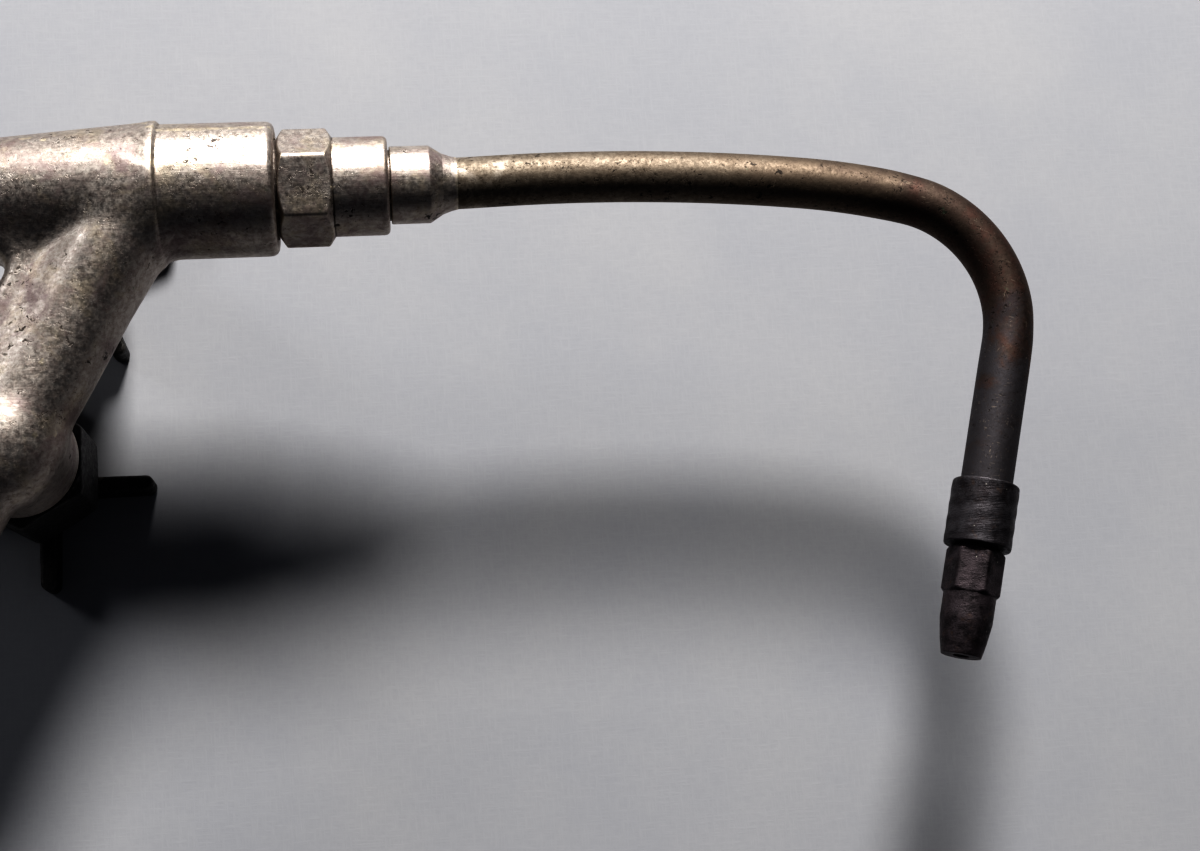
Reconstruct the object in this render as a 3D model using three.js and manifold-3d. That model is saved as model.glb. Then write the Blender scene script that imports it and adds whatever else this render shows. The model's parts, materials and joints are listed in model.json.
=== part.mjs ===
// Hand torch burner nozzle: a forged Y body with two needle valves, a swan neck and a screwed burner tip.
// Millimetres, +Z up. The torch lies flat, standing on its two cross handles. The barrel runs along X,
// the neck leaves it towards +X, and the burner tip points towards -Y.

import * as THREE from 'three';
import { mergeVertices } from 'three/addons/utils/BufferGeometryUtils.js';
import Module from 'manifold-3d';

const wasm = await Module();
wasm.setup();

// ---------------------------------------------------------------- driving dimensions
const GAP = 0.3;                   // left between pieces that are screwed or pressed together
const RUN = 0.15;                  // radial running clearance of a piece that turns or slides
const ROUND = 28;                  // sides of a large turned piece
const SMALL_ROUND = 16;            // sides of a small turned piece
const BORE_ROUND = 12;             // sides of a drilled passage

const barrel = {
  mouthX: 0, mouthR: 12.3, lipX: -20.5, lipR: 12.7, waistX: -49, waistR: 10.7,
  tailX: -83, tailR: 9.4, edge: 1.5,
};
const branch = { startX: -22.9, angle: 60, rootR: 9.9, endR: 9.4, length: 52.6, tail: 26, tailR: 7.6 };
const mainTail = 40.5;             // from the main valve to the end of the barrel
const notch = { x: -51.3, y: -14.4, r: 3.3, webThickness: 8 };
const chamber = { R: 10.9, faceZ: -14.3 };
const mainValveX = -42.5;
const mainHandleTurn = 22.5;       // degrees that the main handle stands away from square

const seat = { z: -5, holeR: 1.6, chamberR: 5.6, threadR: 7.1, threadZ: -9.2 };
const port = { passageR: 2, inletR: 2.6, dropX: -3.9, dropR: 1.4, socketR: 5.3, socketDepth: 9.2 };
const bonnet = { flats: 22, topZ: -15.5, lowZ: -35.1, spigotR: 6.8, spigotZ: -9.6, boxR: 5.2, boxZ: -26 };
const gland = { flats: 13, topZ: -35.4, lowZ: -40.4, spigotR: 4.9, spigotZ: -31.6 };
const stem = { R: 2.6, topZ: -3.2, coneZ: -7.4, tipR: 0.5, shoulderZ: -41, endR: 2.3, endZ: -46.2 };
const handle = { reach: 20.5, barW: 3.1, barTopZ: -42.4, barLowZ: -49.4, hubR: 6.3, hubTopZ: -41.3 };
const hubLowZ = -48.6;
const screw = { headR: 3.2, headTopZ: -46.5, headLowZ: -48.1, shankR: 1.1, shankTopZ: -41.8 };

const inlet = { threadR: 5, bodyR: 5.6, flats: 14, flange: 4, length: 12.5, boreR: 2.5 };
const union = { flats: 19, length: 14, boreR: 6.35, backR: 4.7, back: 3.5 };
const tail = { length: 30, coreR: 4, barbR: 4.9, barbs: 4, boreR: 2.3, headR: 6.1, head: 2.8 };

const socketBore = { threadR: 9.3, shoulderX: -10.7, mixerR: 5.2, mixerX: -29 };
const nut = {
  flats: 19.05, startX: 0.4, hexEndX: 10.2, endX: 20.4, shoulderR: 9.1, threadR: 9, threadX: -6, turn: 15.5,
};
const socket = { flangeR: 8.3, flangeX: -8.8, flange: 2.5, shankR: 6.5, collarX: 20.7, collarR: 7.15 };
const collar = { chamferX: 28, endX: 30.8, endR: 5.5, pocketX: 16, pocketR: 5.05, boreR: 3.2 };

const tube = { R: 4.7625, wall: 0.85, startX: 16.3, steps: 40, sides: 16 };
const neckRoute = [                // each stretch of the neck: its length, and the degrees it turns by
  { length: 14.5, turn: 0 },
  { length: 4, turn: 1.8 },
  { length: 7, turn: 0 },
  { length: 56.5, turn: -8.3 },
  { length: 20, turn: -8.5 },
  { length: 37.4, turn: -90 },
];
const tip = {
  collarStart: 27.6, collarEnd: 39.7, collarR: 6.17, tubeEnd: 33.6, threadR: 3.9, hexStart: 40.2,
};
const nose = {
  flats: 9.53, hexEnd: 48.7, R: 4.78, straightEnd: 53.4, end: 59.9, endR: 3.65, jetR: 1.5, turn: 18,
};

// ---------------------------------------------------------------- materials
const finish = (color, roughness, metalness) =>
  new THREE.MeshStandardMaterial({ color, roughness, metalness });
const nickel = finish(0xb3a898, 0.35, 1);
const brass = finish(0xb08d4a, 0.4, 1);
const heatedNickel = finish(0x8a7f6e, 0.42, 1);
const sootedSteel = finish(0x2c2a2a, 0.55, 0.8);
const blackIron = finish(0x1d1c1c, 0.6, 0.6);
const steel = finish(0x7d7a76, 0.4, 1);
const fibre = finish(0x6b3f2c, 0.85, 0);
const packingCord = finish(0x4a4a48, 0.9, 0);

// ---------------------------------------------------------------- solids
function solidFrom(geometry) {
  const bare = geometry.index ? geometry.toNonIndexed() : geometry.clone();
  bare.deleteAttribute('normal');
  bare.deleteAttribute('uv');
  const merged = mergeVertices(bare, 1e-4);
  const corners = merged.index.array;
  const kept = [];
  for (let i = 0; i < corners.length; i += 3) {
    const [a, b, c] = [corners[i], corners[i + 1], corners[i + 2]];
    if (a !== b && b !== c && c !== a) kept.push(a, b, c);
  }
  const vertProperties = Float32Array.from(merged.getAttribute('position').array);
  const closed = (order) => new wasm.Manifold(
    new wasm.Mesh({ numProp: 3, vertProperties, triVerts: Uint32Array.from(order) }));
  const solid = closed(kept);
  return solid.volume() > 0 ? solid : closed(kept.reverse());
}

function geometryFrom(solid) {
  const { vertProperties, triVerts } = solid.getMesh();
  const geometry = new THREE.BufferGeometry();
  geometry.setAttribute('position', new THREE.BufferAttribute(vertProperties, 3));
  geometry.setIndex(new THREE.BufferAttribute(triVerts, 1));
  geometry.computeVertexNormals();
  return geometry;
}

// A turned solid about the X axis, from [distance along, radius] points; it closes itself on the axis.
function turned(profile, sides = ROUND) {
  const points = profile.map(([along, radius]) => new THREE.Vector2(radius, along));
  points.unshift(new THREE.Vector2(0, profile[0][0]));
  points.push(new THREE.Vector2(0, profile.at(-1)[0]));
  return solidFrom(new THREE.LatheGeometry(points, sides).rotateZ(-Math.PI / 2));
}

// The same about the Z axis, with heights for distances.
function turnedUpright(profile, sides = ROUND) {
  const points = profile.map(([height, radius]) => new THREE.Vector2(radius, height));
  points.unshift(new THREE.Vector2(0, profile[0][0]));
  points.push(new THREE.Vector2(0, profile.at(-1)[0]));
  return solidFrom(new THREE.LatheGeometry(points, sides).rotateX(Math.PI / 2));
}

const rod = (from, to, radius, sides = SMALL_ROUND) => turned([[from, radius], [to, radius]], sides);
const post = (low, high, radius, sides = SMALL_ROUND) =>
  turnedUpright([[low, radius], [high, radius]], sides);

const ring = (from, to, inner, outer, sides = ROUND) =>
  rod(from, to, outer, sides).subtract(rod(from - 1, to + 1, inner, sides));
const flatRing = (low, high, inner, outer, sides = ROUND) =>
  post(low, high, outer, sides).subtract(post(low - 1, high + 1, inner, sides));

const shapeOf = (points) => new THREE.Shape(points.map(([x, y]) => new THREE.Vector2(x, y)));

// A plate of the shape in the XY plane, between two heights.
function plate(shape, low, high) {
  const geometry = new THREE.ExtrudeGeometry(shape, {
    depth: high - low, bevelEnabled: false, curveSegments: 6,
  });
  return solidFrom(geometry.translate(0, 0, low));
}

// A hexagon across its flats, standing on Z, its corners turned off at both ends.
function hexPost(flats, low, high) {
  const cornerR = flats / Math.sqrt(3);
  const bevel = cornerR - flats / 2 + 0.15;
  const corners = Array.from({ length: 6 }, (_, i) => {
    const angle = THREE.MathUtils.degToRad(90 + 60 * i);
    return [cornerR * Math.cos(angle), cornerR * Math.sin(angle)];
  });
  const cap = turnedUpright([
    [low, cornerR - bevel], [low + bevel * 0.6, cornerR + 0.05],
    [high - bevel * 0.6, cornerR + 0.05], [high, cornerR - bevel],
  ]);
  return plate(shapeOf(corners), low, high).intersect(cap);
}

const hexRod = (flats, from, to) => hexPost(flats, from, to).rotate([0, 90, 0]);

// ---------------------------------------------------------------- groups and nodes
function group(parent, x = 0, y = 0, turnDegrees = 0) {
  const made = new THREE.Group();
  made.position.set(x, y, 0);
  made.rotation.z = THREE.MathUtils.degToRad(turnDegrees);
  parent.add(made);
  return made;
}

function node(parent, name, solid, material) {
  const mesh = new THREE.Mesh(geometryFrom(solid), material);
  mesh.name = name;
  parent.add(mesh);
  return mesh;
}

const branchTurn = branch.angle;
const branchValve = new THREE.Vector2(branch.startX, 0).sub(
  new THREE.Vector2(branch.length, 0)
    .rotateAround(new THREE.Vector2(), THREE.MathUtils.degToRad(branchTurn)));

// ---------------------------------------------------------------- Y body
function barrelBlank() {
  return turned([
    [barrel.tailX, barrel.tailR - 1], [barrel.tailX + 1, barrel.tailR],
    [barrel.tailX + 9, barrel.tailR], [barrel.waistX - 6, barrel.waistR - 0.8],
    [barrel.waistX, barrel.waistR], [barrel.lipX - 1.6, barrel.lipR],
    [barrel.lipX - 0.4, barrel.lipR], [barrel.lipX + 0.2, barrel.mouthR],
    [barrel.mouthX - barrel.edge, barrel.mouthR], [barrel.mouthX - 0.4, barrel.mouthR - 0.5],
    [barrel.mouthX, barrel.mouthR - barrel.edge],
  ]);
}

function branchBlank() {
  const rise = branch.length;
  return turned([
    [-branch.tail, branch.tailR - 1], [1 - branch.tail, branch.tailR],
    [-8, branch.tailR], [-6, branch.endR], [10, branch.endR],
    [rise - 9, branch.rootR], [rise, branch.rootR],
  ]);
}

function branchChamber() {
  const dome = Array.from({ length: 7 }, (_, i) => {
    const lift = (i / 6) * 78;
    return [chamber.R * Math.sin(THREE.MathUtils.degToRad(lift)),
      chamber.R * Math.cos(THREE.MathUtils.degToRad(lift))];
  });
  return turnedUpright([
    [chamber.faceZ, chamber.R - 0.7], [chamber.faceZ + 0.7, chamber.R], ...dome,
  ]);
}

function web() {
  const outline = new THREE.Shape();
  outline.moveTo(barrel.lipX - 4, -3);
  outline.lineTo(notch.x, -3);
  outline.lineTo(notch.x, notch.y + notch.r);
  outline.absarc(notch.x, notch.y, notch.r, Math.PI / 2, -Math.PI / 6, true);
  const edge = new THREE.Vector2(notch.x, notch.y).add(
    new THREE.Vector2(notch.r, 0).rotateAround(new THREE.Vector2(), -Math.PI / 6));
  const along = new THREE.Vector2(-13, 0).rotateAround(
    new THREE.Vector2(), THREE.MathUtils.degToRad(branchTurn));
  outline.lineTo(edge.x + along.x, edge.y + along.y);
  outline.lineTo(branchValve.x, branchValve.y + 4);
  outline.lineTo(branchValve.x + 12, branchValve.y + 12);
  return plate(outline, -notch.webThickness / 2, notch.webThickness / 2);
}

// Bores of one leg, with its valve at the origin and the outlet towards +X.
function legBores(outletLength, tailLength) {
  return [
    rod(-0.5, outletLength, port.passageR, BORE_ROUND),
    post(seat.z - 1, 0.6, seat.holeR, BORE_ROUND),
    post(chamber.faceZ - 1, seat.z, seat.chamberR),
    post(chamber.faceZ - 1, seat.threadZ, seat.threadR),
    post(seat.z - 1, 0.6, port.dropR, BORE_ROUND).translate([port.dropX, 0, 0]),
    rod(-tailLength - 1, port.dropX, port.inletR, BORE_ROUND),
    rod(-tailLength - 1, port.socketDepth - tailLength, port.socketR),
  ];
}

function yBody() {
  const toBranch = (solid) => solid.rotate([0, 0, branchTurn])
    .translate([branchValve.x, branchValve.y, 0]);
  const toMain = (solid) => solid.translate([mainValveX, 0, 0]);
  let body = barrelBlank()
    .add(toBranch(branchBlank()))
    .add(toBranch(branchChamber()))
    .add(toMain(post(chamber.faceZ, 0, 10.2, ROUND)))
    .add(web());
  const mainOutlet = socketBore.mixerX - mainValveX + 1;
  const cuts = [
    rod(socketBore.shoulderX, 2, socketBore.threadR, ROUND),
    rod(socketBore.mixerX, 2, socketBore.mixerR),
    ...legBores(mainOutlet, mainTail).map(toMain),
    ...legBores(branch.length - 3, branch.tail).map(toBranch),
  ];
  for (const cut of cuts) body = body.subtract(cut);
  return body;
}

// ---------------------------------------------------------------- mixer inside the body
function addMixer(parent) {
  const start = socketBore.mixerX + 1.2;
  const jet = turned([
    [start, socketBore.mixerR - 0.25], [start + 3, socketBore.mixerR - 0.25], [start + 3, 2.7],
    [-14, 2.7], [-11.4, 1.5],
  ], SMALL_ROUND).subtract(rod(start - 1, -11, 0.8, BORE_ROUND));
  node(parent, 'mixer_jet', jet, brass);
  node(parent, 'mixer_washer',
    ring(socketBore.mixerX + GAP, start - GAP, 2.4, socketBore.mixerR - 0.4, SMALL_ROUND), fibre);
}

// ---------------------------------------------------------------- needle valve, hanging along -Z
function addValve(parent, name, handleTurn) {
  const cap = hexPost(bonnet.flats, bonnet.lowZ, bonnet.topZ)
    .add(post(bonnet.topZ - 1, bonnet.spigotZ, bonnet.spigotR, ROUND))
    .subtract(post(bonnet.lowZ - 1, bonnet.spigotZ + 1, stem.R + 0.5))
    .subtract(post(bonnet.lowZ - 1, bonnet.boxZ, bonnet.boxR));
  node(parent, `${name}_bonnet`, cap, blackIron);
  node(parent, `${name}_bonnet_washer`,
    flatRing(bonnet.topZ + 0.2, chamber.faceZ - 0.2, seat.threadR + 0.2, chamber.R - 1.8), fibre);
  node(parent, `${name}_packing`,
    flatRing(gland.spigotZ + GAP, bonnet.boxZ - GAP, stem.R + RUN, bonnet.boxR - GAP, SMALL_ROUND),
    packingCord);
  const follower = hexPost(gland.flats, gland.lowZ, gland.topZ)
    .add(post(gland.topZ - 1, gland.spigotZ, gland.spigotR))
    .subtract(post(gland.lowZ - 1, gland.spigotZ + 1, stem.R + 0.3));
  node(parent, `${name}_gland_nut`, follower, brass);

  const needle = turnedUpright([
    [stem.endZ, stem.endR], [stem.shoulderZ, stem.endR], [stem.shoulderZ, stem.R],
    [stem.coneZ, stem.R], [stem.topZ, stem.tipR],
  ], SMALL_ROUND).subtract(post(stem.endZ - 1, screw.shankTopZ + 0.4, screw.shankR + 0.25, BORE_ROUND));
  node(parent, `${name}_stem`, needle, steel);

  const turning = group(parent, 0, 0, handleTurn);
  node(turning, `${name}_handle`, crossHandle(), blackIron);
  const slot = solidFrom(new THREE.BoxGeometry(8, 0.9, 1.6).translate(0, 0, screw.headLowZ));
  const fixing = post(screw.headLowZ, screw.headTopZ, screw.headR)
    .add(post(screw.headTopZ - 0.5, screw.shankTopZ, screw.shankR, BORE_ROUND))
    .subtract(slot);
  node(turning, `${name}_handle_screw`, fixing, steel);
}

function crossHandle() {
  let cross = turnedUpright([
    [hubLowZ, handle.hubR - 0.8], [hubLowZ + 0.8, handle.hubR],
    [handle.barTopZ, handle.hubR], [handle.hubTopZ, handle.hubR - 1.6],
  ]);
  const half = handle.barW / 2;
  for (let i = 0; i < 4; i += 1) {
    const bar = new THREE.Shape();
    bar.moveTo(3, -half);
    bar.lineTo(handle.reach - half, -half);
    bar.absarc(handle.reach - half, 0, half, -Math.PI / 2, Math.PI / 2, false);
    bar.lineTo(3, half);
    cross = cross.add(plate(bar, handle.barLowZ, handle.barTopZ).rotate([0, 0, 90 * i]));
  }
  return cross
    .subtract(post(hubLowZ - 2, handle.hubTopZ + 1, stem.endR + RUN))
    .subtract(post(hubLowZ - 2, screw.headTopZ + GAP, screw.headR + 0.4));
}

// ---------------------------------------------------------------- hose connection of one leg
function addInlet(parent, name, tailLength) {
  const face = -tailLength;
  const flangeEnd = face - 1 - inlet.flange;
  const outEnd = flangeEnd - inlet.length;
  node(parent, `${name}_spigot_washer`,
    ring(face - 0.8, face - 0.15, inlet.threadR + 0.3, branch.tailR - 0.4, SMALL_ROUND), fibre);
  const spigot = hexRod(inlet.flats, flangeEnd, face - 1)
    .add(rod(outEnd, flangeEnd + 1, inlet.bodyR))
    .add(rod(face - 1.5, face + port.socketDepth - 0.6, inlet.threadR))
    .subtract(rod(outEnd - 1, face + port.socketDepth, inlet.boreR, BORE_ROUND))
    .subtract(turned([[outEnd - 1, 5], [outEnd + 2.4, inlet.boreR - 0.4]], SMALL_ROUND));
  node(parent, `${name}_inlet_spigot`, spigot, nickel);

  const headFrom = outEnd - GAP - tail.head;
  const tailEnd = headFrom - tail.length;
  const pitch = (tail.length - 7) / tail.barbs;
  const outline = [];
  for (let i = 0; i < tail.barbs; i += 1) {
    const start = tailEnd + i * pitch;
    outline.push([start, tail.coreR], [start + pitch * 0.8, tail.barbR], [start + pitch * 0.85, tail.coreR]);
  }
  const nipple = turned([
    ...outline, [headFrom, tail.coreR], [headFrom, tail.headR], [outEnd - GAP, tail.headR],
    [outEnd - GAP, 4.2], [outEnd + 1, 3.1],
  ], SMALL_ROUND).subtract(rod(tailEnd - 1, outEnd + 3, tail.boreR, BORE_ROUND));
  node(parent, `${name}_hose_nipple`, nipple, nickel);

  const nutBack = headFrom - RUN - union.back;
  const unionNut = hexRod(union.flats, nutBack, nutBack + union.length)
    .subtract(rod(nutBack - 1, nutBack + union.length + 1, union.backR))
    .subtract(rod(nutBack + union.back, nutBack + union.length + 1, union.boreR));
  node(parent, `${name}_union_nut`, unionNut, nickel);
}

// ---------------------------------------------------------------- neck
function addNeck(parent) {
  const hexNut = hexRod(nut.flats, nut.startX, nut.hexEndX).rotate([nut.turn, 0, 0])
    .add(turned([
      [nut.threadX, nut.threadR], [nut.startX + 2, nut.threadR], [nut.hexEndX - 2, nut.shoulderR],
      [nut.endX - 0.8, nut.shoulderR], [nut.endX - 0.2, nut.shoulderR - 0.3], [nut.endX, nut.shoulderR - 0.9],
    ]))
    .subtract(rod(nut.threadX - 1, nut.endX + 1, socket.shankR + RUN, ROUND));
  node(parent, 'coupling_nut', hexNut, nickel);

  node(parent, 'neck_washer',
    ring(socketBore.shoulderX + GAP, socket.flangeX - GAP, socketBore.mixerR + 0.2, socket.flangeR), fibre);

  const sleeve = turned([
    [socket.flangeX, socket.flangeR], [socket.flangeX + socket.flange, socket.flangeR],
    [socket.flangeX + socket.flange, socket.shankR], [socket.collarX, socket.shankR],
    [socket.collarX, socket.collarR - 0.3], [socket.collarX + 0.4, socket.collarR],
    [collar.chamferX, socket.collarR], [collar.endX - 0.6, collar.endR + 0.2], [collar.endX, collar.endR],
  ])
    .subtract(rod(collar.pocketX, collar.endX + 1, collar.pocketR))
    .subtract(turned([[socket.flangeX - 1, 4.6], [-2, collar.boreR], [collar.pocketX + 1, collar.boreR]],
      SMALL_ROUND));
  node(parent, 'neck_socket', sleeve, nickel);

  const route = layNeck();
  const section = new THREE.Shape().absarc(0, 0, tube.R, 0, 2 * Math.PI, false);
  section.holes.push(new THREE.Path().absarc(0, 0, tube.R - tube.wall, 0, 2 * Math.PI, true));
  const neck = new THREE.ExtrudeGeometry(section, {
    steps: tube.steps, extrudePath: new THREE.CatmullRomCurve3(route.points), bevelEnabled: false,
    curveSegments: tube.sides / 2,
  });
  node(parent, 'neck_tube', solidFrom(neck), heatedNickel);

  const straight = group(parent, route.bendEnd.x, route.bendEnd.y, route.heading);
  const sleeveEnd = turned([
    [tip.collarStart, tip.collarR - 0.5], [tip.collarStart + 0.5, tip.collarR],
    [tip.collarEnd - 0.5, tip.collarR], [tip.collarEnd, tip.collarR - 0.5],
  ])
    .subtract(rod(tip.collarStart - 1, tip.tubeEnd + GAP, collar.pocketR))
    .subtract(rod(tip.tubeEnd, tip.collarEnd + 1, tip.threadR + GAP));
  node(straight, 'tip_collar', sleeveEnd, sootedSteel);

  const burner = hexRod(nose.flats, tip.hexStart, nose.hexEnd).rotate([nose.turn, 0, 0])
    .add(rod(tip.tubeEnd + 0.8, tip.hexStart + 1, tip.threadR))
    .add(turned([
      [nose.hexEnd - 1, nose.R - 0.15], [nose.hexEnd, nose.R], [nose.straightEnd, nose.R],
      [nose.straightEnd + 3.4, nose.R - 0.45], [nose.end, nose.endR],
    ]))
    .subtract(rod(tip.tubeEnd, nose.end - 3, 2.3, BORE_ROUND))
    .subtract(rod(tip.tubeEnd, nose.end + 1, nose.jetR, BORE_ROUND));
  node(straight, 'burner_tip', burner, sootedSteel);
}

// Lays the neck's centre line stretch by stretch, then adds the straight end that enters the tip collar.
function layNeck() {
  const place = new THREE.Vector2(tube.startX, 0);
  const points = [new THREE.Vector3(place.x, place.y, 0)];
  let heading = 0;
  const advance = ({ length, turn }) => {
    const pieces = Math.ceil(length / 3);
    for (let i = 0; i < pieces; i += 1) {
      heading += turn / pieces / 2;
      const angle = THREE.MathUtils.degToRad(heading);
      place.add(new THREE.Vector2(Math.cos(angle), Math.sin(angle)).multiplyScalar(length / pieces));
      heading += turn / pieces / 2;
      points.push(new THREE.Vector3(place.x, place.y, 0));
    }
  };
  neckRoute.forEach(advance);
  const bendEnd = place.clone();
  advance({ length: tip.tubeEnd, turn: 0 });
  return { points, bendEnd, heading };
}

// ---------------------------------------------------------------- the torch
const torch = new THREE.Group();
node(torch, 'y_body', yBody(), nickel);
addMixer(torch);

const mainLeg = group(torch, mainValveX, 0, 0);
addValve(mainLeg, 'main', mainHandleTurn);
addInlet(mainLeg, 'main', mainTail);

const branchLeg = group(torch, branchValve.x, branchValve.y, branchTurn);
addValve(branchLeg, 'branch', -branchTurn);
addInlet(branchLeg, 'branch', branch.tail);

addNeck(torch);

// The origin is the middle of the underside of the whole torch's box.
torch.updateMatrixWorld(true);
const extent = new THREE.Box3().setFromObject(torch, true);
const middle = extent.getCenter(new THREE.Vector3());
torch.position.set(-middle.x, -middle.y, -extent.min.z);

const part = new THREE.Group();
part.add(torch);

export default part;
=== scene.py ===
"""Looks of a hand torch burner nozzle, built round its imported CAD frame.

Shapes are worked out in millimetres in the torch's own frame: the barrel and the start of the neck lie on the
X axis, x = 0 is the body's mouth, the valves hang along -Z. A place, a 4x4 matrix, takes a shape from its own
millimetres to the frame's metres.
"""

import json
import math

import bmesh
import bpy
import numpy as np
from mathutils import Matrix, Vector

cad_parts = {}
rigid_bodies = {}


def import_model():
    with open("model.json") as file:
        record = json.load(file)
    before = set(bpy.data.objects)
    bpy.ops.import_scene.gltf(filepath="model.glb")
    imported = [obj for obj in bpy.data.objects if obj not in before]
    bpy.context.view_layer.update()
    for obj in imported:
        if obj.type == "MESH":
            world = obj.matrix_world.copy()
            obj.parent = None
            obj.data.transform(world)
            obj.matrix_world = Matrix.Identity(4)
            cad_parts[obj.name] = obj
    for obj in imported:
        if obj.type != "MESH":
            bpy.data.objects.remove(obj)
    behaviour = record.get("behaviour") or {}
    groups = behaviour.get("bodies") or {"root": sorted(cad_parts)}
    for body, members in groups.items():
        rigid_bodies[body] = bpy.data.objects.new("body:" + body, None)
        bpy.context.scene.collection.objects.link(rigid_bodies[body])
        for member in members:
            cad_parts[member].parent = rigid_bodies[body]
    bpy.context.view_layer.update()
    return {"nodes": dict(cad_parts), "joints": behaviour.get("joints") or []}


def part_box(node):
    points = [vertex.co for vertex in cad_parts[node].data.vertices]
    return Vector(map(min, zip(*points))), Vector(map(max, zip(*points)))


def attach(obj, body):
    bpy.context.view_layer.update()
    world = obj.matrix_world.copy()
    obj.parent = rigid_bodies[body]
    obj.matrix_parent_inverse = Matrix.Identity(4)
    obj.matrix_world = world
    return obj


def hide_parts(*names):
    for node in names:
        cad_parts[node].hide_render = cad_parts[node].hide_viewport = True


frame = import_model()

# ---------------------------------------------------------------- places, from the frame
MM = 0.001
JOINTS = {joint["name"]: joint for joint in frame["joints"]}
neck_axis = JOINTS["neck_swivel"]["pos_m"]
origin = Vector((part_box("y_body")[1].x, neck_axis[1], neck_axis[2]))


def turn(degrees, axis):
    return Matrix.Rotation(math.radians(degrees), 4, axis)


def valve_place(joint, degrees):
    x, y, _ = JOINTS[joint]["pos_m"]
    return Matrix.Translation((x, y, origin.z)) @ turn(degrees, "Z") @ Matrix.Scale(MM, 4)


BRANCH_ANGLE = 60
TORCH = Matrix.Translation(origin) @ Matrix.Scale(MM, 4)
MAIN = valve_place("main_handle_turn", 0)
BRANCH = valve_place("branch_handle_turn", BRANCH_ANGLE)
UPRIGHT = turn(-90, "Y")           # takes the X axis to the Z axis
main_valve = TORCH.inverted() @ MAIN.translation
branch_valve = TORCH.inverted() @ BRANCH.translation

# ---------------------------------------------------------------- sizes in millimetres
TUBE_R, TUBE_WALL = 4.7625, 0.85
TUBE_SIDES = 64
NECK_START = 16.3
NECK_STEP = 0.9
NECK_ROUTE = [(14.5, 0), (4, 1.8), (7, 0), (56.5, -8.3), (20, -8.5), (37.4, -90)]    # length, bend in degrees
NECK_END = 33.6
COLLAR_R = 6.17
CHAMBER_R, CHAMBER_FACE, DOME_HEIGHT = 10.9, -14.3, 9.9
WEB_HALF, WEB_EDGE = 5.8, 3
LEG_RISE_FROM, LEG_RISE_OVER, LEG_SHIFT, LEG_TALLER = 12, 30, 0.7, 0.2
FILLET = {"chamber": 2.2, "leg": 2.4, "web": 4, "boss": 3, "arm": 1.6, "hub": 1.2}
MAIN_TAIL, BRANCH_TAIL = 40.5, 26
MAIN_HANDLE_TURN = 22.5
ARM_REACH, ARM_HALF, ARM_TAPER, ARM_EDGE = 18.95, 1.75, 0.2, 0.6
ARM_MIDDLE, ARM_HALF_HEIGHT = -45.9, 3.5
SLOT_WIDTH = 0.9
BONNET_FLATS, GLAND_FLATS, SPIGOT_FLATS, UNION_FLATS = 22, 13, 14, 19
NUT_FLATS, NUT_TURN = 19.05, -15.5
TIP_FLATS, TIP_TURN = 9.53, -18
FLANGE_LENGTH, SPIGOT_THREAD = 5, 12.5
UNION_LENGTH, UNION_R, UNION_FLOOR, CHAMFER = 14, 11.6, 3.5, 1.6
TAIL_LENGTH, TAIL_R, TAIL_BORE, HEAD_LENGTH = 30, 4.0, 2.3, 2.8
BARBS, BARB_R, PLAIN_LENGTH = 4, 4.9, 7
BODY_CELL, HANDLE_CELL = ((0.36, 0.4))
TURNED_CREASE, CAST_CREASE = 38, 50      # degrees; a sharper bend in the surface is an edge


# ---------------------------------------------------------------- outlines
def rounded(corners, step=None):
    """An outline from (along, radius, rounding) corners: each corner becomes an arc, and a step divides the
    long sides."""
    points = []
    for i, (x, r, rounding) in enumerate(corners):
        here = Vector((x, r))
        before, after = corners[i - 1], corners[(i + 1) % len(corners)]
        to_last, to_next = Vector(before[:2]) - here, Vector(after[:2]) - here
        reach = min(to_last.length, to_next.length) * 0.49
        bend = to_last.angle(to_next, math.pi)
        if not rounding or bend > math.radians(175):
            points.append(here)
            continue
        setback = min(rounding / math.tan(bend / 2), reach)
        start, end = here + to_last.normalized() * setback, here + to_next.normalized() * setback
        for j in range(5):
            t = j / 4
            points.append(start * (1 - t) ** 2 + here * 2 * t * (1 - t) + end * t * t)
    if step is None:
        return points
    divided = []
    for a, b in zip(points, points[1:] + points[:1]):
        count = max(1, math.ceil((b - a).length / step))
        divided += [a.lerp(b, k / count) for k in range(count)]
    return divided


def soft_min(a, b, width):
    """The smaller of two numbers, blended where they differ by less than width."""
    near = np.maximum(width - np.abs(a - b), 0) / width
    return np.minimum(a, b) - near * near * width / 4


def rounded_overlap(a, b, edge):
    """Distance to what two shapes share, its edges rounded."""
    a, b = a + edge, b + edge
    return np.minimum(np.maximum(a, b), 0) + np.hypot(np.maximum(a, 0), np.maximum(b, 0)) - edge


CORNER_WEAR, CORNER_SOFT, CHAMFER_SOFT = 0.12, 0.25, 0.3
BORE_LIMIT = 0.36        # share of a hexagon's flats; nearer to the axis lies its bore


def hexagon(angle, flats, turned_by):
    """Distance from the axis to a hexagon's side in each direction; a side faces turned_by."""
    sector = (angle - math.radians(turned_by) + math.pi / 6) % (math.pi / 3) - math.pi / 6
    return soft_min(flats / 2 / np.cos(sector), flats / math.sqrt(3) - CORNER_WEAR, CORNER_SOFT)


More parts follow.
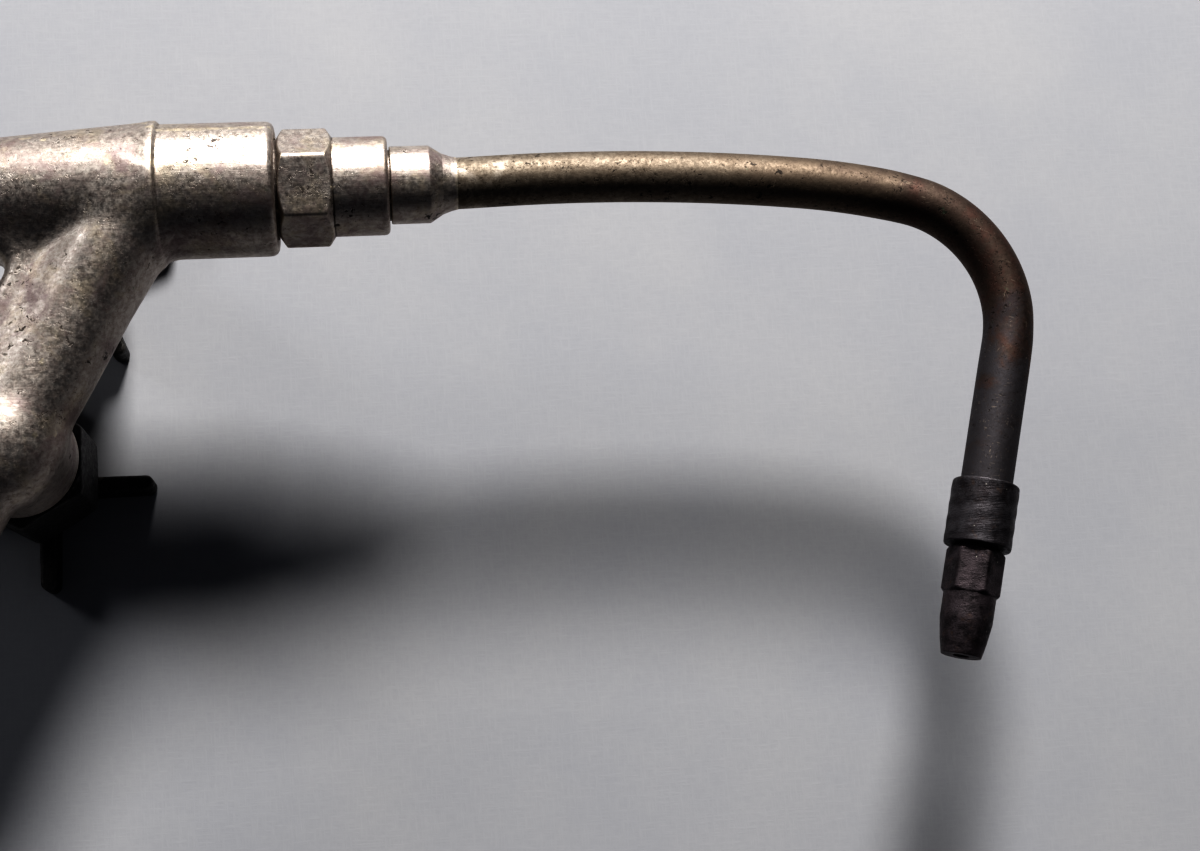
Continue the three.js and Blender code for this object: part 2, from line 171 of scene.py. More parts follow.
# ---------------------------------------------------------------- meshes
def add_piece(name, points, faces, place, body, look, replaces, crease=TURNED_CREASE, layers=()):
    """Makes an object of the points, in millimetres at their place, and ties it to its CAD body. A look is a
    slot name, which is not used, and a material; layers are (name, a value for each point)."""
    slot, material = look
    mesh = bpy.data.meshes.new(name)
    mesh.from_pydata([tuple(p) for p in points], [], faces)
    mesh.transform(place)
    for layer, values in layers:
        attribute = mesh.attributes.new(layer, "FLOAT", "POINT")
        attribute.data.foreach_set("value", np.asarray(values, np.float32))
    tidy = bmesh.new()
    tidy.from_mesh(mesh)
    bmesh.ops.recalc_face_normals(tidy, faces=tidy.faces)
    tidy.to_mesh(mesh)
    tidy.free()
    mesh.shade_smooth()
    if crease:
        mesh.set_sharp_from_angle(angle=math.radians(crease))
    piece = bpy.data.objects.new(name, mesh)
    bpy.context.scene.collection.objects.link(piece)
    mesh.materials.append(material)
    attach(piece, body)
    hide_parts(*replaces)
    return piece


def grid_faces(rows, sides):
    """Quads between neighbouring rows of points, closed along each row and from the last row to the first."""
    faces = []
    for i in range(rows):
        k = (i + 1) % rows
        for j in range(sides):
            m = (j + 1) % sides
            faces.append((i * sides + j, i * sides + m, k * sides + m, k * sides + j))
    return faces


def spun(outline, sides, hexes=(), threads=()):
    """Turns a closed outline of (along, radius) points about the X axis. hexes are (from, to, flats,
    turned_by) and cut the outer side to a hexagon; threads are (from, to, pitch, depth, root) and cut a
    helical groove where the radius is larger than the root."""
    outline = np.array([tuple(p) for p in outline], float)
    angle = np.arange(sides) * 2 * math.pi / sides
    along = np.repeat(outline[:, :1], sides, axis=1)
    radius = np.repeat(outline[:, 1:], sides, axis=1)
    for start, end, flats, turned_by in hexes:
        band = (along >= start - 1e-6) & (along <= end + 1e-6) & (radius > flats * BORE_LIMIT)
        side = np.broadcast_to(hexagon(angle, flats, turned_by), radius.shape)
        radius = np.where(band, soft_min(radius, side, CHAMFER_SOFT), radius)
    for start, end, pitch, depth, root in threads:
        band = (along > start) & (along < end) & (radius > root)
        phase = (along / pitch - angle / (2 * math.pi)) % 1
        groove = depth * (0.5 + 0.5 * np.cos(2 * math.pi * phase))
        fade = np.clip(np.minimum(along - start, end - along) / pitch, 0, 1)
        radius = np.where(band, radius - groove * fade, radius)
    points = np.stack([along, radius * np.sin(angle), radius * np.cos(angle)], axis=-1).reshape(-1, 3)
    return points, grid_faces(len(outline), sides)


def turned_piece(name, corners, place, body, look, replaces, sides=96, step=None, hexes=(), threads=()):
    points, faces = spun(rounded(corners, step), sides, hexes, threads)
    return add_piece(name, points, faces, place, body, look, [replaces])


def swept(centres, headings, inner_radius, sections, sides):
    """A tube wall along a plane curve. Each section is a function from angle to outer radius."""
    angle = np.arange(sides) * 2 * math.pi / sides
    rings = []
    for (x, y), heading, section in zip(centres, headings, sections):
        rings.append(ring_at(x, y, heading, section(angle), angle))
    for (x, y), heading in reversed(list(zip(centres, headings))):
        rings.append(ring_at(x, y, heading, np.full(sides, inner_radius), angle))
    return np.concatenate(rings), grid_faces(len(rings), sides)


def ring_at(x, y, heading, radius, angle):
    """A ring square to the heading; angle 0 points to the left of the way the curve runs."""
    left = np.array([-math.sin(heading), math.cos(heading), 0])
    up = np.array([0, 0, 1.0])
    return np.array([x, y, 0]) + radius[:, None] * (
        np.cos(angle)[:, None] * left + np.sin(angle)[:, None] * up)


# ---------------------------------------------------------------- blended solids from distances
def outline_distance(outline, x, r):
    """Signed distance from points (x, r) to a closed outline, negative inside."""
    corners = np.array([tuple(p) for p in outline], float)
    nearest = np.full(np.shape(x), np.inf)
    inside = np.zeros(np.shape(x), bool)
    for (ax, ay), (bx, by) in zip(corners, np.roll(corners, -1, axis=0)):
        ex, ey = bx - ax, by - ay
        px, py = x - ax, r - ay
        t = np.clip((px * ex + py * ey) / max(ex * ex + ey * ey, 1e-9), 0, 1)
        nearest = np.minimum(nearest, (px - ex * t) ** 2 + (py - ey * t) ** 2)
        crosses = (ay > r) != (by > r)
        with np.errstate(divide="ignore", invalid="ignore"):
            inside ^= crosses & (x < ax + (r - ay) * ex / (by - ay))
    return np.where(inside, -1, 1) * np.sqrt(nearest)


def skin(distance, low, high, cell):
    """The zero surface of a distance function as a quad mesh, with a vertex for each grid cell it crosses."""
    low, high = np.array(low, float), np.array(high, float)
    counts = np.ceil((high - low) / cell).astype(int) + 1
    coarse = 4             # cells along a block of the first, rough pass
    reach = 1.8            # blocks from its middle within which the surface may cross a block
    blocks = np.ceil(counts / coarse).astype(int)
    axes = [low[a] + (np.arange(blocks[a]) + 0.5) * coarse * cell for a in range(3)]
    centre = np.stack(np.meshgrid(*axes, indexing="ij"), -1).reshape(-1, 3)
    rough = distance(centre).reshape(blocks)
    values = rough.repeat(coarse, 0).repeat(coarse, 1).repeat(coarse, 2)[:counts[0], :counts[1], :counts[2]]
    close = np.abs(values) < coarse * cell * reach
    spots = np.argwhere(close)
    values = values.copy()
    values[close] = distance(low + spots * cell)

    inside = values < 0
    corner_sets = [inside[a:counts[0] - 1 + a, b:counts[1] - 1 + b, c:counts[2] - 1 + c]
                   for a in (0, 1) for b in (0, 1) for c in (0, 1)]
    filled = np.sum(corner_sets, axis=0)
    active = (filled > 0) & (filled < 8)
    cells = np.argwhere(active)
    number = np.full(active.shape, -1)
    number[active] = np.arange(len(cells))
    points = low + (cells + 0.5) * cell
    nudge = cell * 0.05
    least_slope = 0.2      # squared; keeps a step short where the distance hardly changes
    for _ in range(5):
        d = distance(points)
        slope = np.stack([distance(points + nudge * np.eye(3)[a]) - d for a in range(3)], -1) / nudge
        points = points - slope * (d / np.maximum((slope ** 2).sum(-1), least_slope))[:, None]

    faces = []
    for a in range(3):
        b, c = (a + 1) % 3, (a + 2) % 3
        first = np.take(inside, range(counts[a] - 1), a)
        second = np.take(inside, range(1, counts[a]), a)
        for spot in (np.argwhere(first & ~second), np.argwhere(~first & second)):
            spot = spot[(spot[:, b] > 0) & (spot[:, c] > 0)]
            quad = []
            for db, dc in ((0, 0), (-1, 0), (-1, -1), (0, -1)):
                at = spot.copy()
                at[:, b] += db
                at[:, c] += dc
                quad.append(number[at[:, 0], at[:, 1], at[:, 2]])
            faces += np.stack(quad, -1).tolist()
    return points, faces


# ---------------------------------------------------------------- materials
class Recipe:
    """A node material in progress: helpers that add a node and return its output."""

    def __init__(self, name):
        self.material = bpy.data.materials.new(name)
        self.material.use_nodes = True
        self.tree = self.material.node_tree
        self.shader = self.tree.nodes["Principled BSDF"]
        where = self.tree.nodes.new("ShaderNodeTexCoord")
        grow = self.tree.nodes.new("ShaderNodeMapping")
        grow.inputs["Scale"].default_value = (1000, 1000, 1000)
        self.tree.links.new(where.outputs["Object"], grow.inputs["Vector"])
        self.place = grow.outputs["Vector"]

    def put(self, value, socket):
        if isinstance(value, bpy.types.NodeSocket):
            self.tree.links.new(value, socket)
        else:
            socket.default_value = value

    def stretched(self, scale, place=None):
        node = self.tree.nodes.new("ShaderNodeMapping")
        node.inputs["Scale"].default_value = scale
        self.tree.links.new(place or self.place, node.inputs["Vector"])
        return node.outputs["Vector"]

    def shifted(self, by, turned=(0, 0, 0)):
        node = self.tree.nodes.new("ShaderNodeMapping")
        node.inputs["Location"].default_value = by
        node.inputs["Rotation"].default_value = turned
        self.tree.links.new(self.place, node.inputs["Vector"])
        return node.outputs["Vector"]

    def scratches(self):
        """Thin marks in three directions, broken up."""
        directions = [((0.2, 0.1, 0.4), 9), ((0.9, 0.3, 1.3), 12), ((0.1, 1.1, 2.2), 10)]    # turn, length
        lengthwise = 0.22
        marks = None
        for i, (turned, length) in enumerate(directions):
            crosswise = lengthwise * length
            place = self.stretched((lengthwise, crosswise, crosswise), self.shifted((i, 2 * i, 5), turned))
            line = self.ramp(self.noise(1.0, 2, 0.5, 0.3, place), 0.67, 0.70)
            line = self.math("MULTIPLY", line, self.ramp(self.noise(0.25, 3), 0.48, 0.60))
            marks = line if marks is None else self.math("MAXIMUM", marks, line)
        return marks

    def noise(self, scale, detail=4, roughness=0.55, distortion=0, place=None):
        node = self.tree.nodes.new("ShaderNodeTexNoise")
        self.tree.links.new(place or self.place, node.inputs["Vector"])
        for socket, value in (("Scale", scale), ("Detail", detail), ("Roughness", roughness),
                              ("Distortion", distortion)):
            node.inputs[socket].default_value = value
        return node.outputs["Fac"]

    def cells(self, scale):
        node = self.tree.nodes.new("ShaderNodeTexVoronoi")
        self.tree.links.new(self.place, node.inputs["Vector"])
        node.inputs["Scale"].default_value = scale
        return node.outputs["Distance"]

    def attribute(self, name):
        node = self.tree.nodes.new("ShaderNodeAttribute")
        node.attribute_name = name
        return node.outputs["Fac"]

    def edges(self, low, high):
        """How sharply the surface bends out, past low up to high; a bend inwards is below a half."""
        node = self.tree.nodes.new("ShaderNodeNewGeometry")
        return self.ramp(node.outputs["Pointiness"], low, high)

    def ramp(self, value, low, high, start=0.0, end=1.0):
        node = self.tree.nodes.new("ShaderNodeMapRange")
        node.interpolation_type = "SMOOTHSTEP"
        self.put(value, node.inputs["Value"])
        for socket, number in (("From Min", low), ("From Max", high), ("To Min", start), ("To Max", end)):
            node.inputs[socket].default_value = number
        return node.outputs["Result"]

    def math(self, operation, a, b=0.5):
        node = self.tree.nodes.new("ShaderNodeMath")
        node.operation = operation
        node.use_clamp = operation in ("ADD", "SUBTRACT")
        self.put(a, node.inputs[0])
        self.put(b, node.inputs[1])
        return node.outputs[0]

    def mix(self, factor, a, b):
        node = self.tree.nodes.new("ShaderNodeMix")
        node.data_type = "RGBA"
        self.put(factor, node.inputs["Factor"])
        self.put(a, node.inputs[6])
        self.put(b, node.inputs[7])
        return node.outputs[2]

    def stained(self, color, where, strength, stain):
        """The colour, stained where a mask says so."""
        return self.mix(self.math("MULTIPLY", where, strength), color, stain)

    def mix_number(self, factor, a, b):
        node = self.tree.nodes.new("ShaderNodeMix")
        node.data_type = "FLOAT"
        self.put(factor, node.inputs["Factor"])
        self.put(a, node.inputs[2])
        self.put(b, node.inputs[3])
        return node.outputs[0]

    def bump(self, height, strength, distance, normal=None):
        node = self.tree.nodes.new("ShaderNodeBump")
        node.inputs["Strength"].default_value = strength
        node.inputs["Distance"].default_value = distance
        self.put(height, node.inputs["Height"])
        if normal is not None:
            self.tree.links.new(normal, node.inputs["Normal"])
        return node.outputs["Normal"]

    def finish(self, color, roughness, normal, metallic=1.0):
        self.put(color, self.shader.inputs["Base Color"])
        self.put(roughness, self.shader.inputs["Roughness"])
        self.put(metallic, self.shader.inputs["Metallic"])
        self.tree.links.new(normal, self.shader.inputs["Normal"])
        return self.material


def rgb(red, green, blue):
    return (red, green, blue, 1)


def aged_nickel():
    """Warm nickel plate, faintly streaked and tarnished, yellow where worn, with dark pits and scratches."""
    m = Recipe("aged_nickel")
    mottle = m.ramp(m.noise(0.8, 9, 0.75, 0.3), 0.38, 0.62)
    color = m.mix(mottle, rgb(0.35, 0.31, 0.28), rgb(0.475, 0.435, 0.395))
    streaks = m.ramp(m.noise(1.0, 6, 0.7, 0.2, m.stretched((0.10, 1.3, 1.3))), 0.42, 0.64)
    color = m.stained(color, streaks, 0.25, rgb(0.27, 0.21, 0.19))
    brassy = m.ramp(m.noise(0.12, 6, 0.65, 0.8), 0.48, 0.66)
    color = m.stained(color, brassy, 0.35, rgb(0.47, 0.40, 0.28))
    tarnish = m.ramp(m.noise(0.09, 9, 0.72, 0.5, m.shifted((7, 3, 1))), 0.47, 0.64)
    color = m.stained(color, tarnish, 0.55, rgb(0.18, 0.125, 0.135))
    flecks = m.ramp(m.noise(1.5, 8, 0.8), 0.52, 0.62)
    color = m.stained(color, flecks, 0.42, rgb(0.15, 0.115, 0.10))
    bright = m.ramp(m.noise(2.4, 6, 0.8, 0, m.shifted((4, 9, 2))), 0.58, 0.68)
    color = m.stained(color, bright, 0.2, rgb(0.66, 0.61, 0.53))
    clusters = m.ramp(m.noise(0.11, 3, 0.6), 0.53, 0.60)
    pits = m.math("MULTIPLY", m.ramp(m.noise(0.75, 5, 0.65, 0.5), 0.585, 0.615), clusters)
    small = m.math("MULTIPLY", m.ramp(m.noise(1.9, 4, 0.7, 0.5, m.shifted((2, 6, 4))), 0.62, 0.66),
                   m.ramp(m.noise(0.17, 4), 0.48, 0.58))
    pits = m.math("MAXIMUM", pits, small)
    color = m.stained(color, pits, 0.85, rgb(0.035, 0.027, 0.023))
    green = m.ramp(m.noise(0.33, 6, 0.65), 0.67, 0.73)
    color = m.stained(color, green, 0.45, rgb(0.14, 0.20, 0.13))
    scratches = m.scratches()
    color = m.stained(color, scratches, 0.2, rgb(0.66, 0.60, 0.50))
    worn = m.math("MULTIPLY", m.edges(0.515, 0.56), m.ramp(m.noise(0.6, 6, 0.7), 0.36, 0.56))
    color = m.stained(color, worn, 0.5, rgb(0.66, 0.58, 0.43))
    # Darker where the surface bends inwards, in its creases and hollows.
    hollow_dark = m.math("MULTIPLY", m.edges(0.490, 0.465), m.ramp(m.noise(0.7, 6, 0.7), 0.28, 0.5))
    color = m.stained(color, hollow_dark, 0.75, rgb(0.055, 0.043, 0.036))
    roughness = m.mix_number(m.ramp(m.noise(1.1, 8, 0.8), 0.36, 0.66), 0.37, 0.60)
    roughness = m.mix_number(m.math("MAXIMUM", m.math("MULTIPLY", tarnish, 0.6), pits), roughness, 0.60)
    metallic = m.ramp(pits, 0, 1, 1.0, 0.5)
    waves = m.bump(m.noise(0.30, 3, 0.5), 0.4, 0.00018)
    drawn = m.bump(streaks, 0.25, 0.00003, waves)
    grain = m.bump(m.noise(1.6, 5, 0.65), 0.30, 0.00004, drawn)
    scored = m.bump(m.math("SUBTRACT", 1.0, scratches), 0.3, 0.00005, grain)
    normal = m.bump(m.math("SUBTRACT", 1.0, pits), 0.4, 0.0001, scored)
    return m.finish(color, roughness, normal, metallic)


def heated_tube():
    """Nickelled tube: dull nickel near the socket, then bronze, brown round the bend and black at its end."""
    m = Recipe("heated_tube")
    drift = m.ramp(m.noise(0.10, 6, 0.65, 0.4), 0.3, 0.7, -0.09, 0.09)
    heat = m.math("ADD", m.attribute("neck_heat"), drift)
    mottle = m.ramp(m.noise(0.8, 9, 0.75, 0.3), 0.38, 0.62)
    dull = m.mix(mottle, rgb(0.14, 0.117, 0.094), rgb(0.215, 0.184, 0.15))
    unheated = m.mix(mottle, rgb(0.31, 0.27, 0.235), rgb(0.44, 0.40, 0.35))
    color = m.mix(m.ramp(heat, 0.0, 0.13), unheated, dull)
    color = m.mix(m.ramp(heat, 0.16, 0.52), color, rgb(0.15, 0.12, 0.094))
    color = m.mix(m.ramp(heat, 0.48, 0.66), color, rgb(0.094, 0.072, 0.061))
    rosy = m.math("MULTIPLY", m.ramp(heat, 0.62, 0.70), m.ramp(m.noise(0.3, 6, 0.7), 0.40, 0.62))
    color = m.stained(color, rosy, 0.45, rgb(0.12, 0.062, 0.052))
    color = m.mix(m.ramp(heat, 0.76, 0.90), color, rgb(0.062, 0.057, 0.061))
    flecks = m.ramp(m.noise(2.0, 7, 0.75), 0.54, 0.64)
    color = m.stained(color, flecks, 0.4, rgb(0.06, 0.045, 0.035))
    bright = m.ramp(m.noise(2.9, 6, 0.75, 0, m.shifted((4, 9, 2))), 0.60, 0.70)
    bright = m.math("MULTIPLY", bright, m.ramp(heat, 0.75, 0.45))
    color = m.stained(color, bright, 0.35, rgb(0.66, 0.58, 0.47))
    pits = m.math("MULTIPLY", m.ramp(m.noise(0.95, 5, 0.65, 0.5), 0.585, 0.615),
                  m.ramp(m.noise(0.15, 4), 0.48, 0.57))
    small = m.math("MULTIPLY", m.ramp(m.noise(2.1, 4, 0.7, 0.5, m.shifted((2, 6, 4))), 0.61, 0.65),
                   m.ramp(m.noise(0.2, 4), 0.45, 0.55))
    pits = m.math("MAXIMUM", pits, small)
    color = m.stained(color, pits, 0.9, rgb(0.022, 0.017, 0.014))
    green = m.ramp(m.noise(0.28, 6, 0.65), 0.66, 0.72)
    color = m.stained(color, green, 0.4, rgb(0.10, 0.15, 0.10))
    scratches = m.scratches()
    color = m.stained(color, scratches, 0.3, rgb(0.35, 0.29, 0.23))
    roughness = m.mix_number(m.ramp(m.noise(1.1, 8, 0.8), 0.36, 0.66), 0.54, 0.72)
    roughness = m.mix_number(pits, roughness, 0.62)
    metallic = m.ramp(m.math("MAXIMUM", pits, m.ramp(heat, 0.75, 0.95)), 0, 1, 1.0, 0.7)
    grain = m.bump(m.noise(1.7, 5, 0.65), 0.35, 0.00005, m.bump(m.noise(0.35, 4), 0.5, 0.00018))
    normal = m.bump(m.math("SUBTRACT", 1.0, pits), 0.4, 0.0001, grain)
    return m.finish(color, roughness, normal, metallic)


def sooted(name, base, lines):
    """Fire-blackened metal with tool marks round it, grey where it is rubbed, with a brown bloom."""
    m = Recipe(name)
    color = m.mix(m.ramp(m.noise(0.3, 6, 0.7), 0.38, 0.66), base, rgb(0.035, 0.03, 0.032))
    bloom = m.ramp(m.noise(0.45, 6, 0.7, 0.5), 0.56, 0.72)
    color = m.stained(color, bloom, 0.5, rgb(0.11, 0.07, 0.05))
    rub = m.ramp(m.noise(1.1, 7, 0.75), 0.60, 0.76)
    color = m.stained(color, rub, 0.55, rgb(0.23, 0.22, 0.22))
    specks = m.math("MULTIPLY", m.ramp(m.cells(0.55), 0.085, 0.04), m.ramp(m.noise(0.3, 2), 0.5, 0.56))
    color = m.stained(color, specks, 0.7, rgb(0.50, 0.47, 0.42))
    roughness = m.ramp(m.noise(0.9, 6, 0.7), 0.3, 0.7, 0.36, 0.62)
    marks = m.noise(1.0, 5, 0.75, 0.3, m.stretched(lines))
    grain = m.bump(m.noise(3.0, 6, 0.75), 0.45, 0.0001)
    normal = m.bump(marks, 0.55, 0.00018, grain)
    return m.finish(color, roughness, normal, 0.8)


def black_iron():
    """Blackened cast iron, faintly rusty, its skin grainy."""
    m = Recipe("black_iron")
    blotch = m.ramp(m.noise(0.35, 6, 0.7), 0.4, 0.65)
    color = m.mix(blotch, rgb(0.032, 0.031, 0.032), rgb(0.060, 0.057, 0.054))
    rust = m.ramp(m.noise(0.5, 7, 0.75), 0.60, 0.74)
    color = m.stained(color, rust, 0.6, rgb(0.10, 0.055, 0.035))
    rub = m.ramp(m.noise(1.6, 6, 0.75), 0.60, 0.76)
    worn = m.math("MULTIPLY", m.edges(0.515, 0.57), m.ramp(m.noise(0.8, 6, 0.7), 0.34, 0.56))
    color = m.stained(color, m.math("MAXIMUM", rub, worn), 0.7, rgb(0.24, 0.225, 0.21))
    roughness = m.ramp(m.noise(1.2, 5, 0.7), 0.3, 0.7, 0.38, 0.66)
    normal = m.bump(m.noise(2.0, 6, 0.75), 0.6, 0.00018, m.bump(m.noise(0.5, 3), 0.4, 0.0003))
    return m.finish(color, roughness, normal, 0.75)


def bare_brass():
    m = Recipe("bare_brass")
    color = m.mix(m.ramp(m.noise(0.3, 6, 0.7), 0.38, 0.66), rgb(0.56, 0.40, 0.17), rgb(0.34, 0.22, 0.10))
    spots = m.ramp(m.noise(1.4, 6, 0.75), 0.60, 0.72)
    color = m.stained(color, spots, 0.7, rgb(0.10, 0.065, 0.035))
    roughness = m.ramp(m.noise(0.9, 5, 0.7), 0.3, 0.7, 0.28, 0.52)
    normal = m.bump(m.noise(2.4, 5, 0.7), 0.4, 0.0001)
    return m.finish(color, roughness, normal)


def plain_steel():
    m = Recipe("plain_steel")
    color = m.mix(m.ramp(m.noise(0.5, 6, 0.7), 0.4, 0.65), rgb(0.33, 0.32, 0.31), rgb(0.20, 0.18, 0.165))
    rust = m.ramp(m.noise(1.3, 7, 0.75), 0.60, 0.72)
    color = m.stained(color, rust, 0.7, rgb(0.14, 0.075, 0.04))
    roughness = m.ramp(m.noise(1.0, 5, 0.7), 0.3, 0.7, 0.3, 0.55)
    normal = m.bump(m.noise(1.2, 5, 0.7, 0, m.stretched((1, 1, 9))), 0.35, 0.00008)
    return m.finish(color, roughness, normal)


def red_fibre():
    m = Recipe("red_fibre")
    color = m.mix(m.noise(0.8, 6, 0.7), rgb(0.12, 0.055, 0.04), rgb(0.19, 0.095, 0.065))
    normal = m.bump(m.noise(4, 5, 0.7), 0.5, 0.00008)
    return m.finish(color, m.ramp(m.noise(1.5), 0.3, 0.7, 0.7, 0.9), normal, 0.0)


def packing_cord():
    m = Recipe("packing_cord")
    strands = m.noise(1.2, 5, 0.7, 0.6, m.stretched((1, 1, 4)))
    color = m.mix(m.ramp(strands, 0.35, 0.65), rgb(0.02, 0.02, 0.021), rgb(0.09, 0.09, 0.092))
    return m.finish(color, m.ramp(strands, 0.3, 0.7, 0.6, 0.85), m.bump(strands, 0.7, 0.00025), 0.1)


def table_top():
    """The pale floor: a close weave, faintly mottled."""
    m = Recipe("table_top")
    blotch = m.ramp(m.noise(0.015, 6, 0.6), 0.35, 0.68)
    color = m.mix(blotch, rgb(0.315, 0.318, 0.336), rgb(0.341, 0.341, 0.352))
    fibres = m.ramp(m.noise(0.6, 6, 0.75), 0.35, 0.7)
    color = m.stained(color, fibres, 0.25, rgb(0.28, 0.283, 0.30))
    weft = m.noise(1.0, 3, 0.6, 0, m.stretched((0.2, 1.8, 1)))
    warp = m.noise(1.0, 3, 0.6, 0, m.stretched((1.8, 0.2, 1)))
    weave = m.math("MAXIMUM", weft, warp)
    color = m.mix(m.ramp(weave, 0.4, 0.7, 0.0, 0.16), color, rgb(0.39, 0.39, 0.40))
    return m.finish(color, 0.85, m.bump(weave, 0.2, 0.00015), 0.0)


# Each look is a slot name, which is not used, and the material that shows it.
NICKEL = ("aged_nickel", aged_nickel())
HEATED = ("heated_nickel", heated_tube())
SOOT_SLEEVE = ("sooted_steel", sooted("sooted_sleeve", rgb(0.075, 0.07, 0.075), (0.35, 3.2, 0.6)))
SOOT_TIP = ("sooted_steel", sooted("sooted_tip", rgb(0.085, 0.07, 0.075), (0.9, 1.6, 0.9)))
IRON = ("black_iron", black_iron())
BRASS = ("bare_brass", bare_brass())
STEEL = ("plain_steel", plain_steel())
FIBRE = ("red_fibre", red_fibre())
CORD = ("graphite_cord", packing_cord())


# ---------------------------------------------------------------- the forged Y body
# The outlines of solids that are blended close beyond their axis, so that no distance ends on it.
def barrel_outline():
    return rounded([
        (-83, -4, 0), (-83, 9.4, 1.0), (-74, 9.4, 4), (-55, 9.95, 8), (-49, 10.7, 10), (-24.2, 12.62, 3),
        (-22.0, 12.95, 0.6), (-21.1, 12.95, 0.3), (-20.5, 12.3, 0.2), (0, 12.3, 1.7), (0, -4, 0)])


def branch_outline():
    return rounded([
        (-26, -4, 0), (-26, 7.6, 0.8), (-9, 7.6, 1.5), (-6, 9.2, 1.5), (10, 9.0, 6), (30, 8.8, 12),
        (52.6, 9.5, 0), (52.6, -4, 0)])


def chamber_outline():
    """The branch's valve chamber about its upright axis: a dome above a short drum with a turned rim."""
    dome = [Vector((DOME_HEIGHT * math.sin(a), CHAMBER_R * math.cos(a)))
            for a in np.radians(np.linspace(0, 90, 13))]
    drum = rounded([
        (CHAMBER_R, -4, 0), (CHAMBER_FACE, -4, 0), (CHAMBER_FACE, CHAMBER_R, 0.6), (0, CHAMBER_R, 0)])
    return drum + dome


def boss_outline():
    return rounded([(0, -4, 0), (CHAMBER_FACE, -4, 0), (CHAMBER_FACE, 10.2, 0.8), (0, 10.2, 0)])


def web_outline():
    """The web in the crotch of the Y, with its rounded notch, in the XY plane."""
    notch = Vector((-51.3, -14.4))
    notch_r = 3.3
    arc = [notch + notch_r * Vector((math.cos(a), math.sin(a)))
           for a in np.radians(np.linspace(90, -30, 13))]
    down_branch = -Vector((math.cos(math.radians(BRANCH_ANGLE)), math.sin(math.radians(BRANCH_ANGLE))))
    tail = arc[-1] + 13 * down_branch
    valve = Vector(branch_valve.xy)
    return [Vector((-24.5, -3)), Vector((notch.x - 4, -3)), Vector((notch.x - 4, -10.5)), *arc,
            tail, valve + Vector((0, 4)), valve + Vector((12, 12))]


def body_distance(p):
    """Signed distance to the forging: its members run into each other with fillets. The leg's section grows
    taller, and shifts sideways, from the branch's valve to the barrel."""
    x, y, z = p[:, 0], p[:, 1], p[:, 2]
    solid = outline_distance(BARREL, x, np.hypot(y, z))
    c, s = math.cos(math.radians(BRANCH_ANGLE)), math.sin(math.radians(BRANCH_ANGLE))
    bx, by = x - branch_valve.x, y - branch_valve.y
    along, across = bx * c + by * s, by * c - bx * s
    rise = np.clip((along - LEG_RISE_FROM) / LEG_RISE_OVER, 0, 1)
    rise = rise * rise * (3 - 2 * rise)
    section = np.hypot(across - LEG_SHIFT * rise, z / (1 + LEG_TALLER * rise))
    leg = outline_distance(BRANCH_LEG, along, section)
    chamber = outline_distance(CHAMBER, z, np.hypot(bx, by))
    leg = soft_min(leg, chamber, FILLET["chamber"])
    web = rounded_overlap(outline_distance(WEB, x, y), np.abs(z) - WEB_HALF, WEB_EDGE)
    solid = soft_min(solid, leg, FILLET["leg"])
    solid = soft_min(solid, web, FILLET["web"])
    boss = outline_distance(BOSS, z, np.hypot(x - main_valve.x, y))
    return soft_min(solid, boss, FILLET["boss"])


def bore_cutters():
    """A cylinder for every drilled passage: place, from, to, radius."""
    cuts = [
        (TORCH, -10.7, 3, 9.3),                     # the mouth
        (TORCH, -29, -9, 5.2)]                      # the seat of the mixer jet
    for place, outlet, tail in ((MAIN, 14.5, MAIN_TAIL), (BRANCH, 49.6, BRANCH_TAIL)):
        upright = place @ UPRIGHT
        feed = place @ Matrix.Translation((-3.9, 0, 0)) @ UPRIGHT
        cuts += [
            (place, -0.5, outlet, 2.0),             # from the valve to the jet
            (place, -tail - 2, -3.9, 2.6),          # from the hose to the valve
            (place, -tail - 2, 9.2 - tail, 5.3),    # the seat of the inlet spigot
            (upright, -6, 0.6, 1.6),                # the valve's port
            (upright, -17, -5, 5.6),                # the valve chamber
            (upright, -17, -9.2, 7.1),              # the bonnet's thread
            (feed, -6, 0.6, 1.4)]                   # from the inlet down to the valve chamber
    return cuts


def drill(piece, cuts):
    """Cuts the bores out of a piece, each given as (place, from, to, radius), or with a width for a slot."""
    bits = bpy.data.collections.new("drill_bits")
    for i, (place, start, end, radius, *width) in enumerate(cuts):
        sides = 96 if radius > 5 else 40
        own_turn = 0.013 * (i + 1)      # radians, so that no two cutters share an edge
        angle = np.arange(sides) * 2 * math.pi / sides + own_turn
        half = width[0] / 2 if width else radius
        across = np.clip(radius * np.sin(angle), -half, half)
        points = [(x, y, z) for x in (start, end) for y, z in zip(across, radius * np.cos(angle))]
        faces = [(j, sides + j, sides + (j + 1) % sides, (j + 1) % sides) for j in range(sides)]
        faces += [tuple(range(sides)), tuple(reversed(range(sides, 2 * sides)))]
        mesh = bpy.data.meshes.new("drill_bit")
        mesh.from_pydata(points, [], faces)
        mesh.transform(place)
        bits.objects.link(bpy.data.objects.new("drill_bit", mesh))
    modifier = piece.modifiers.new("bores", "BOOLEAN")
    modifier.operation, modifier.solver = "DIFFERENCE", "MANIFOLD"
    modifier.operand_type, modifier.collection = "COLLECTION", bits
    cut = bpy.data.meshes.new_from_object(piece.evaluated_get(bpy.context.evaluated_depsgraph_get()))
    piece.modifiers.clear()
    piece.data = cut
    for bit in list(bits.objects):
        bpy.data.meshes.remove(bit.data)
    bpy.data.collections.remove(bits)


BARREL, BRANCH_LEG, CHAMBER, BOSS, WEB = (
    barrel_outline(), branch_outline(), chamber_outline(), boss_outline(), web_outline())


